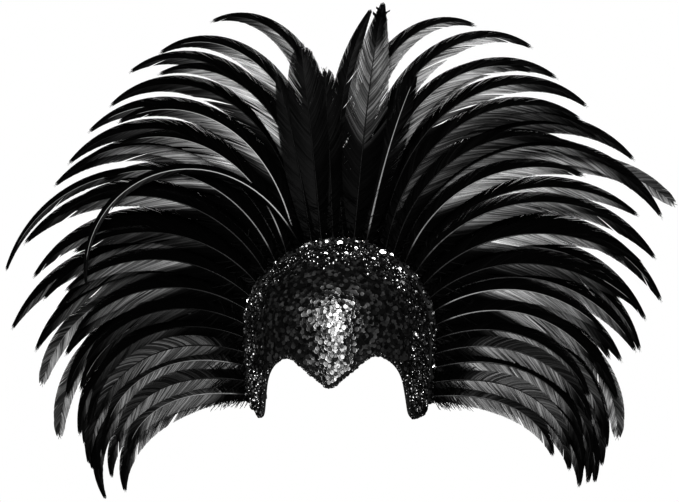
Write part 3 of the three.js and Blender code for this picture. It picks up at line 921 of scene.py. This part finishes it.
def bunch(row_number, bunch_number, side):
    """The parts of four feathers and of the tape that holds them."""
    parts, places = [], []
    for number in range(bunch_number * PER_BUNCH, (bunch_number + 1) * PER_BUNCH):
        line, around, blade, width = fan_feather(row_number, number, side)
        parts += feather(line, blade, width, **fan_looks(row_number, number, side, around, blade))
        places.append(around)
    reach = (places[1] - places[0]) / 2 - TAPE_GAP / 2
    parts.append(tape(side * (places[0] - reach), side * (places[-1] + reach), ROWS[row_number]["depth"]))
    return parts


fan_faces = 0
for row_number, row in enumerate(ROWS):
    for side_name, side in (("left", 1), ("right", -1)):
        for bunch_number, bunch_name in enumerate(BUNCHES):
            node = f"{row['name']}_{bunch_name}_{side_name}"
            made = join_parts(f"{node}_feathers", bunch(row_number, bunch_number, side), FEATHER_FINISHES)
            settle(made, "feather", node)
            fan_faces += len(made.data.polygons)
print("fan faces", fan_faces)

# %% [markdown]
# ## Crest and stray feather
# The plumes of the crest stand on wrapped feet between the first tapes. Most are broader than
# the fan's feathers and nearly straight, and the tallest has a worn tip. One narrow feather, with a
# highlight painted along its quill, has come loose and loops down over the others. They use the
# same builder, with lines of their own, and the tape's block again as the thread round each foot.

# %% Plumes and the stray feather
PLUMES = [
    {"foot": -24.5, "depth": 7.8, "lean": -9, "turn": -8, "length": 158, "width": 26, "blade": SICKLE},
    {"foot": -15.5, "depth": 1.8, "lean": -5, "turn": -4, "length": 178, "width": 34, "blade": BLUNT},
    {"foot": -6, "depth": 4.8, "lean": -2, "turn": -3, "length": 156, "width": 27, "blade": BLUNT},
    {"foot": 3, "depth": 7.8, "lean": -5, "turn": 31, "length": 214, "width": 22, "blade": SICKLE},
    {"foot": 12, "depth": 1.8, "lean": 5, "turn": 4, "length": 218, "width": 38, "blade": SICKLE,
     "shines": (0.5, 0.6), "broken": 6},
    {"foot": 22, "depth": 4.8, "lean": 12, "turn": 12, "length": 160, "width": 28, "blade": SICKLE},
]
PLUME_CROOK = 1.8
PLUME_QUILL_RADIUS = 1.1
PLUME_SHINES = (0, 0.04)
PLUME_STEEP = 0.55
FOOT_HALF = 2.4
FOOT_RISE = 7.0
FOOT_TAPER = 0.5
THREAD_SWELL = 0.08
THREAD_WAVE = 40
QUILL_LIFT = 1.0
STRAY = {"foot": -33, "depth": 4.6, "start": 24, "turn": 162, "crook": 1.15, "length": 292, "width": 10}
STRAY_FORWARD = 7.4
STRAY_FORWARD_BY = 24.0
STRAY_SHINES = (0, 0.12)
# How bright the highlight painted along the stray's quill is
STRAY_QUILL_HIGHLIGHT = 1.0


def crest_root(row):
    return rim_point(row["foot"], row["depth"], SEAT_CLEARANCE + QUILL_LIFT)


def wrapped_foot(around, depth):
    """The tape's block, stood up, narrowed and ribbed, as the thread round a quill's foot."""
    rise = (tape_points[:, 0] + 1) / 2
    half = FOOT_HALF * (1 - FOOT_TAPER * rise) * (1 + THREAD_SWELL * np.sin(rise * THREAD_WAVE))
    return cloth_part(rim_point(around + half * tape_points[:, 1], depth + half / 2 * tape_points[:, 2],
                                SEAT_CLEARANCE + FOOT_RISE * rise))


def set_in_crest(name, node, row, parts):
    """A feather and its wrapped foot, as one piece in the place of its solid."""
    foot = wrapped_foot(row["foot"], row["depth"])
    settle(join_parts(name, [*parts, foot], FEATHER_FINISHES), "feather", node)


for number, plume in enumerate(PLUMES, 1):
    line = Line(
        root=crest_root(plume),
        side=1, start=plume["lean"], turn=plume["turn"], crook=PLUME_CROOK, length=plume["length"],
        depth_at=lambda share, across, up, depth=plume["depth"]: depth + plume_sweep(across, up),
    )
    parts = feather(line, plume["blade"], plume["width"], PLUME_QUILL_RADIUS,
                    plume.get("shines", PLUME_SHINES), PLUME_STEEP, broken=plume.get("broken", 0))
    set_in_crest(f"plume_{number}_feather", f"plume_{number}", plume, parts)


def stray_depth(share, across, up):
    forward = STRAY_FORWARD * smooth_step(share * STRAY["length"], 0, STRAY_FORWARD_BY)
    return STRAY["depth"] - forward + fan_sweep(across, up)


stray_line = Line(
    root=crest_root(STRAY),
    side=-1, start=STRAY["start"], turn=STRAY["turn"], crook=STRAY["crook"], length=STRAY["length"],
    depth_at=stray_depth,
)
stray_parts = feather(stray_line, SICKLE, STRAY["width"], shines=STRAY_SHINES, quill_highlight=STRAY_QUILL_HIGHLIGHT)
set_in_crest("stray_feather_loop", "stray_feather", STRAY, stray_parts)
print("plumes", len(PLUMES), "and a stray of", STRAY["length"], "mm")

# %% [markdown]
# ## The cap
# The cap is moulded: a half egg whose foot is drawn down into a skirt and cut to a widow's
# peak, two arches and two tabs. A sphere is the quickest start. We keep its upper half, pull
# the open edge down in steps to the cut line, slice the back off and give the sheet its wall.

# %% Cut of the cap
PATTERN_RADIUS = 86.0


def bend(first, control, last, count=8):
    """Points on a bend from first to last that leans to its control point."""
    t = np.linspace(0, 1, count)[:, None]
    first, control, last = (np.array(p, float) for p in (first, control, last))
    return (1 - t) ** 2 * first + 2 * t * (1 - t) * control + t**2 * last


PEAK = bend((0, -43.6), (2.2, -43.2), (4.5, -41))
LOWER_END = bend((135, -71), (150, -70), (180, -66))
EDGES = {
    1: np.concatenate([
        PEAK,
        bend((32, -20), (44, -12), (58, -20.5)),
        bend((58, -20.5), (75, -30), (80.5, -46))[1:],
        bend((87.5, -66), (90, -74.5), (98, -74)),
        LOWER_END,
    ]),
    -1: np.concatenate([
        PEAK,
        bend((31, -22), (42, -14.5), (55, -22.5)),
        bend((55, -22.5), (70, -31), (75, -46))[1:],
        bend((81, -66), (84, -76), (89.5, -73)),
        bend((94, -70), (101, -66), (113, -67.8)),
        LOWER_END,
    ]),
}


def cut_height(around):
    """How low the cap reaches at distances round it from the front, left being positive."""
    left, right = (np.interp(np.abs(around), EDGES[side][:, 0], EDGES[side][:, 1]) for side in (1, -1))
    return np.where(np.asarray(around) > 0, left, right)


def edge_height(across, depth):
    """How low the cap reaches in a direction from the head's middle."""
    return cut_height(PATTERN_RADIUS * np.arctan2(across / CAP_HALF_WIDTH, -depth / CAP_REACH))


print("the cut drops to", EDGES[1][:, 1].min(), "and", EDGES[-1][:, 1].min(), "mm")

# %% Moulded cap
CAP_SEGMENTS = 240
CAP_RINGS = 64
SKIRT_STEPS = 8
SAME_HEIGHT = 1e-5
CAP_SMOOTH = math.radians(40)
bpy.ops.mesh.primitive_uv_sphere_add(segments=CAP_SEGMENTS, ring_count=CAP_RINGS, radius=1)
cap = bpy.context.object
cap.name = "cap"
bpy.ops.transform.resize(value=(CAP_HALF_WIDTH * MM, CAP_REACH * MM, CAP_RISE * MM))
bpy.ops.object.transform_apply(location=True, rotation=True, scale=True)
edit_all()
bpy.ops.mesh.bisect(plane_co=(0, 0, 0), plane_no=(0, 0, 1), clear_inner=True)
for step in range(SKIRT_STEPS):
    choose(lambda place, low=-step / SKIRT_STEPS: place.z < low + SAME_HEIGHT)
    extrude(-1 / SKIRT_STEPS)
bpy.ops.object.mode_set(mode="OBJECT")
for vertex in cap.data.vertices:
    if vertex.co.z < -SAME_HEIGHT:
        low = edge_height(vertex.co.x / MM, vertex.co.y / MM)
        up = low * -vertex.co.z
        vertex.co = (vertex.co.x * skirt_width(up), vertex.co.y * skirt_width(up), up * MM)
edit_all()
bpy.ops.mesh.bisect(plane_co=(0, BAND_DEPTH * MM, 0), plane_no=(0, 1, 0), clear_outer=True)
bpy.ops.mesh.select_all(action="SELECT")
bpy.ops.mesh.normals_make_consistent(inside=False)
bpy.ops.transform.translate(value=(0, 0, HEAD_MIDDLE * MM))
bpy.ops.object.mode_set(mode="OBJECT")
wall = cap.modifiers.new("wall", "SOLIDIFY")
wall.thickness = CAP_WALL * MM
wall.offset = -1
bpy.ops.object.modifier_apply(modifier=wall.name)
bpy.ops.object.shade_smooth_by_angle(angle=CAP_SMOOTH)
cap.data.materials.append(cap_cloth)
settle(cap, "sequin_cloth", "cap_shell", "cap_band")
print("cap faces", len(cap.data.polygons))

# %% [markdown]
# ## Edge binding
# A strip of cloth is rolled over the cut edge, so the peak, the arches and the tabs end in a
# thin dark roll. We walk along the cut, hang a point just below it at each step and let a
# round curve run through the points. Its sides are then turned into a mesh.

# %% Edge binding
BINDING_RADIUS = 1.9
BINDING_HANG = 1.5
BINDING_END = 148.0
BINDING_STEPS = 260


def skirt_point(around, up, share=1.0):
    """A point on the cap's skirt by distance round it from the front and by height."""
    angle = around / PATTERN_RADIUS
    wide = skirt_width(up) * share
    return np.stack([CAP_HALF_WIDTH * wide * np.sin(angle), -CAP_REACH * wide * np.cos(angle), up], -1)


cut_around = np.linspace(-BINDING_END, BINDING_END, BINDING_STEPS)
cut_up = cut_height(cut_around)
cut = skirt_point(cut_around, cut_up, 1 - CAP_WALL / 2 / CAP_HALF_WIDTH)
cut_ahead = np.gradient(cut, axis=0)
cut_outward = cut * (1 / CAP_HALF_WIDTH**2, 1 / CAP_REACH**2, 0)
cut_away = np.cross(cut_ahead, cut_outward)
cut_away *= np.where(cut_away[:, 2] > 0, -1, 1)[:, None]
cut_away /= np.linalg.norm(cut_away, axis=1, keepdims=True)
hung = cut + cut_away * BINDING_HANG

bpy.ops.curve.primitive_nurbs_path_add()
binding = bpy.context.object
binding.name = "binding_roll"
binding.data.splines.clear()
spline = binding.data.splines.new("POLY")
spline.points.add(BINDING_STEPS - 1)
for point, place in zip(spline.points, (hung + (0, 0, HEAD_MIDDLE)) * MM):
    point.co = (*place, 1)
binding.data.bevel_depth = BINDING_RADIUS * MM
binding.data.bevel_resolution = 3
binding.data.use_fill_caps = True
bpy.ops.object.convert(target="MESH")
bpy.ops.object.shade_smooth()
binding = bpy.context.object
binding.data.materials.clear()
binding.data.materials.append(cloth_finish("binding_cloth", 0.0008, 1600.0))
settle(binding, "binding", "edge_binding")
print("binding faces", len(binding.data.polygons))

# %% [markdown]
# ## Sequins
# A sequin is a small disc pressed into a cup. Ours have eight sides and one recipe: a circle,
# its face drawn in and its middle pushed down, hardly for the flat ones and far for the deep
# ones. A cut stone is a low cone with a broad table, its foot drawn in. A few faces are enough,
# because each shape is copied many times and none is larger than a lentil.

# %% Master sequins and stone
SEQUIN_SIDES = 8
FLAT_CUP = (0.22, 0.03)
DEEP_CUP = (0.5, 0.38)
STONE_TABLE = 0.78
STONE_RISE = 0.3
STONE_FOOT_DEPTH = 0.15
STONE_FOOT_WIDTH = 0.8


def master_sequin(ring, depth):
    bpy.ops.mesh.primitive_circle_add(vertices=SEQUIN_SIDES, radius=1, fill_type="NGON")
    edit_all()
    bpy.ops.mesh.inset(thickness=ring, depth=-depth)
    return take_shape()


def master_stone():
    bpy.ops.mesh.primitive_cone_add(
        vertices=SEQUIN_SIDES, radius1=1, radius2=STONE_TABLE, depth=STONE_RISE
    )
    choose(lambda place: place.z < 0)
    extrude(-STONE_FOOT_DEPTH)
    bpy.ops.transform.resize(value=(STONE_FOOT_WIDTH, STONE_FOOT_WIDTH, 1))
    return take_shape()


flat_sequin = master_sequin(*FLAT_CUP)
deep_sequin = master_sequin(*DEEP_CUP)
cut_stone = master_stone()


def unit(vectors):
    return vectors / np.linalg.norm(vectors, axis=-1, keepdims=True)


def cap_normal(places):
    """Which way the cap's outside faces at places on it."""
    height = np.maximum(places[:, 2], 0) / CAP_RISE**2
    return unit(np.stack([places[:, 0] / CAP_HALF_WIDTH**2, places[:, 1] / CAP_REACH**2, height], -1))


def strew(shape, places, normals, sizes, skew=1):
    """Copies of a small shape, each at its place, facing its way; a skew leaves few bright."""
    points, faces = shape
    count = len(places)
    level = unit(np.cross(normals, draws.normal(0, 1, (count, 3))))
    steep = np.cross(normals, level)
    frames = np.stack([level, steep, normals], 1)
    laid = places[:, None] + sizes[:, None, None] * np.einsum("pk,nkc->npc", points, frames)
    copies = [[i + n * len(points) for i in face] for n in range(count) for face in faces]
    tones = np.repeat(draws.uniform(0, 1, count) ** skew, len(points))
    return laid.reshape(-1, 3), copies, 0, tones[:, None]


def sew_on(name, slot, finish, parts, faceted=False):
    """One piece of strewn copies; where it is faceted, each face mirrors by itself."""
    piece = join_parts(name, parts, [finish])
    if faceted:
        piece.data.polygons.foreach_set("use_smooth", np.zeros(len(piece.data.polygons), bool))
    settle(piece, slot)


print("sequin", len(flat_sequin[1]), "faces, stone", len(cut_stone[1]), "faces")

# %% [markdown]
# ## Sparkle
# Sequins and stones are dark mirrors, with a few bright ones among them that are duller. So one
# finish serves them all: a tone on each copy sets how bright and how rough it is, and a skew
# leaves few copies bright.

# %% Sequin and stone finishes


def sequin_finish(name, dark, light, rough):
    finish, shader, where = new_finish(name)
    tone = mark(where, "tone")
    level = grey(tone, (0.0, dark), (0.6, 0.8 * dark + 0.2 * light), (1.0, light))
    roughness = rough + 0.22 * tone * tone + 0.06 * noise(where, 900.0, 2.0)
    fill(shader, Base_Color=level, Metallic=0.9, Roughness=roughness)
    return finish


sequin_black = sequin_finish("black_sequin", 0.025, 0.3, 0.14)
paillette_black = sequin_finish("rim_paillette", 0.02, 0.55, 0.06)
stone_jet = sequin_finish("jet_stone", 0.1, 0.5, 0.02)
print("sparkle finishes", [f.name for f in (sequin_black, paillette_black, stone_jet)])

# %% [markdown]
# ## Sequins on the cap
# They are sewn in arches round the front, each overlapping the next like scales, so the light
# makes one column on them. Towards the rim and on the tabs they lie every way, and there small
# deep cups stand over them, as along the cut edge, and sparkle. Their places come from the cap's
# own formula, which is quicker than to search its mesh for them.

# %% Sequins on the cap
SEQUIN_RADIUS = 2.15
SEQUIN_SIZES = (0.85, 1.1)
SEQUIN_STEP = 2.75
SEQUIN_STRAY = 0.4
SEQUIN_LIFT = 0.7
EVEN_TILT = 0.03
MESSY_TILT = 0.25
LOOKS_UP = (0, 0, 0.05)
ARCH_FIRST = 0.0005
ARCH_LAST_DEPTH = -12.0
ARCH_RADIUS = 84.0
EDGE_MARGIN = 1.6
RIM_NEAR = (-66, -38)
TAB_BELOW = (22, 44)
TAB_BESIDE = (55, 66)


def arch_places(turn):
    """Places along one arch over the cap, from tab to tab; turn is its angle from the front."""
    depth = -CAP_REACH * math.cos(turn)
    share = math.sin(turn)
    quarter = RIM_QUARTER * share
    end = quarter + SKIRT_DROP
    along = np.arange(-end, end, SEQUIN_STEP) + draws.uniform(0, SEQUIN_STEP)
    distance = np.abs(along)
    around = np.where(distance < quarter, distance / share, RIM_QUARTER + distance - quarter)
    return rim_point(np.where(along < 0, -around, around), depth, 0.0)


arches = np.arange(ARCH_FIRST, math.acos(-ARCH_LAST_DEPTH / CAP_REACH), SEQUIN_STEP / ARCH_RADIUS)
places = np.concatenate([arch_places(turn) for turn in arches])
places += SEQUIN_LIFT * cap_normal(places) + draws.normal(0, SEQUIN_STRAY, places.shape)
places = places[places[:, 2] > edge_height(places[:, 0], places[:, 1]) + EDGE_MARGIN]
rim_near = smooth_step(places[:, 1], *RIM_NEAR)
tab_near = smooth_step(-places[:, 2], *TAB_BELOW) * smooth_step(np.abs(places[:, 0]), *TAB_BESIDE)
mess = np.maximum(rim_near, tab_near)
tilts = draws.normal(0, 1, places.shape) * (EVEN_TILT + MESSY_TILT * mess)[:, None]
facing = unit(cap_normal(places) + LOOKS_UP + tilts)
sizes = SEQUIN_RADIUS * draws.uniform(*SEQUIN_SIZES, len(places))
sequins = strew(flat_sequin, places, facing, sizes)
sew_on("cap_sequins", "sequin_cloth", sequin_black, [sequins], faceted=True)
print("sequins on the cap", len(places))

# %% Small cups over the border
CUP_RADIUS = 1.35
CUP_SIZES = (0.5, 1.25)
CUP_LIFTS = (0.6, 1.4)
CUP_TILT = 0.35
CUPS_TO_LIGHT = (0.2, 0.7)
messy = draws.uniform(0, 1, len(places)) < mess
places = places[messy] + facing[messy] * draws.uniform(*CUP_LIFTS, (messy.sum(), 1))
to_light = np.interp(tab_near[messy], (0, 1), CUPS_TO_LIGHT)[:, None] * TO_LIGHT
facing = unit(cap_normal(places) + to_light + draws.normal(0, CUP_TILT, places.shape))
sizes = CUP_RADIUS * draws.uniform(*CUP_SIZES, len(places))
sew_on("border_cups", "sequin_cloth", paillette_black, [strew(deep_sequin, places, facing, sizes)])
print("cups over the border", len(places))

# %% Cups along the cut edge
EDGE_CUPS = 800
EDGE_CUP_SIZES = (0.5, 1.2)
EDGE_CUP_LIFT = 0.2
EDGE_CUP_TURNS = (-0.3, 1.6)
EDGE_CUP_TILT = 0.3
BARE_STEPS = 25
along = draws.uniform(BARE_STEPS, BINDING_STEPS - BARE_STEPS, EDGE_CUPS).astype(int)
turns = draws.uniform(*EDGE_CUP_TURNS, (EDGE_CUPS, 1))
facing = unit(unit(cut_outward[along]) + cut_away[along] * turns)
places = hung[along] + facing * (BINDING_RADIUS + EDGE_CUP_LIFT)
facing = unit(facing + draws.normal(0, EDGE_CUP_TILT, places.shape))
sizes = CUP_RADIUS * draws.uniform(*EDGE_CUP_SIZES, EDGE_CUPS)
sew_on("edge_cups", "sequin_cloth", sequin_black, [strew(deep_sequin, places, facing, sizes)])
print("cups along the edge", EDGE_CUPS)

# %% [markdown]
# ## Rim trim
# A padded band runs from tab to tab over the crown and hides where the tapes meet the cap. It
# is crowded with sequins that stand up at every angle and with cut stones. The band is a disc
# extruded along its length and bent round the rim, and the rest is strewn on it.

# %% Rim band
BAND_SIDES = 16
BAND_STEPS = 150
TRIM_MIDDLE = -5.0
TRIM_HALF_WIDTH = 5.5
TRIM_RISE = 4.0
TRIM_ROUND = 0.8


def master_band():
    bpy.ops.mesh.primitive_circle_add(vertices=BAND_SIDES, radius=1, fill_type="NGON")
    edit_all()
    for _ in range(BAND_STEPS):
        extrude(1 / BAND_STEPS)
    bpy.ops.mesh.select_all(action="SELECT")
    bpy.ops.mesh.normals_make_consistent(inside=False)
    return take_shape()


def trim_point(around, across, lift):
    """A point on the trim: across the band, lifted off the cap."""
    on_rim = rim_point(around, 0.0, SEAT_CLEARANCE + lift)
    return on_rim + np.stack([0 * across, TRIM_MIDDLE + across, 0 * across], -1)


def trim_rise(across):
    return TRIM_RISE * np.sqrt(np.clip(1 - (across / TRIM_HALF_WIDTH) ** 2, 0, 1)) ** TRIM_ROUND


band_points, band_faces = master_band()
band_across = TRIM_HALF_WIDTH * band_points[:, 0]
band_lift = np.where(band_points[:, 1] > 0, trim_rise(band_across), 0)
band_laid = trim_point(RIM_HALF * (2 * band_points[:, 2] - 1), band_across, band_lift)
band_marks = np.full((len(band_laid), 1), PLAIN_MARK)
band = join_parts("rim_band", [(band_laid, band_faces, 0, band_marks)], [cap_cloth])
settle(band, "trim", "rim_trim")
print("band faces", len(band.data.polygons))

# %% [markdown]
# ## Paillettes and stones
# Paillettes cover the band, most of them dark, and some gather in clusters that are turned to
# the light. Small stones lie among them. The largest stones sit on the front of the cap and are
# turned to the light one by one, so each is given its own place.

# %% Paillettes and stones on the rim
PAILLETTES = 1000
PAILLETTE_RADIUS = 1.6
PAILLETTE_SIZES = (0.5, 1.15)
PAILLETTE_TILT = 0.5
CLUSTERED = 420
CLUSTERS = (-108, -99, -84, -26, -18, -10, -3, 5, 16, 30, 74, 97, 106, 120, 152)
CLUSTER_SPREAD = 3.5
STREWN_HALF = RIM_HALF - 2
STREWN_LIFT = 0.4
CORE_WIDTH = 0.55
CORE_DEPTH = 2.6
STONES = 30
STONE_SIZES = (0.8, 1.6)
STONE_BAND = (-0.95, -0.1)
STONE_TILT = 0.35
STONE_FACES_FRONT = (0, -0.7, 0)
STONE_LIFT = 1.2
# Large stones: across, up and radius in millimetres
LARGE_STONES = np.array([
    (1.5, 75, 3.3), (9.8, 66.5, 2.4), (16.6, 71, 2.0), (33, 62, 2.1), (38.5, 67.5, 2.9),
    (54.5, 52.8, 2.4), (58.2, 41.2, 3.0), (69, 33, 2.2), (79, 24, 2.0),
    (-10.3, 76.5, 1.8), (-8, 66.5, 2.0),
])
LARGE_OUTWARD = 0.12
LARGE_TILT = 0.06


def strew_on_trim(around, low, high):
    """Places on the band, between shares of its half width, and the ways they face."""
    across = draws.uniform(low, high, len(around)) * TRIM_HALF_WIDTH
    on_band = trim_point(around, across, trim_rise(across) + STREWN_LIFT)
    inside = trim_point(around, CORE_WIDTH * across, trim_rise(across) - CORE_DEPTH)
    return on_band, unit(on_band - inside)


def rim_paillettes(around, high, skew, to_light):
    places, facing = strew_on_trim(np.clip(around, -STREWN_HALF, STREWN_HALF), -1.0, high)
    facing = unit(facing + to_light * TO_LIGHT + draws.normal(0, PAILLETTE_TILT, facing.shape))
    sizes = PAILLETTE_RADIUS * draws.uniform(*PAILLETTE_SIZES, len(around))
    return strew(flat_sequin, places, facing, sizes, skew)


def on_the_front(across, up):
    """Places on the cap's front or, past its edge, on the trim, and the way they face."""
    inside = 1 - (across / CAP_HALF_WIDTH) ** 2 - (up / CAP_RISE) ** 2
    depth = np.minimum(-CAP_REACH * np.sqrt(np.maximum(inside, 0)), TRIM_MIDDLE - TRIM_HALF_WIDTH)
    places = np.stack([across, depth, up], -1)
    return places + STONE_LIFT * cap_normal(places), cap_normal(places)


clustered = draws.choice(CLUSTERS, CLUSTERED) + draws.normal(0, CLUSTER_SPREAD, CLUSTERED)
sew_on("rim_paillettes", "trim", paillette_black, [
    rim_paillettes(draws.uniform(-RIM_HALF, RIM_HALF, PAILLETTES), high=0.7, skew=3.5, to_light=0.35),
    rim_paillettes(clustered, high=0.2, skew=1.0, to_light=1.2),
])
places, facing = strew_on_trim(draws.uniform(-STREWN_HALF, STREWN_HALF, STONES), *STONE_BAND)
facing = unit(facing + STONE_FACES_FRONT + draws.normal(0, STONE_TILT, facing.shape))
small_stones = strew(cut_stone, places, facing, draws.uniform(*STONE_SIZES, STONES), skew=3)
places, facing = on_the_front(LARGE_STONES[:, 0], LARGE_STONES[:, 1])
facing = unit(LARGE_OUTWARD * facing + TO_LIGHT + draws.normal(0, LARGE_TILT, facing.shape))
large_stones = strew(cut_stone, places, facing, LARGE_STONES[:, 2], skew=0.5)
sew_on("rim_stones", "trim", stone_jet, [small_stones, large_stones], faceted=True)
print("paillettes", PAILLETTES + CLUSTERED, "stones", STONES + len(LARGE_STONES))
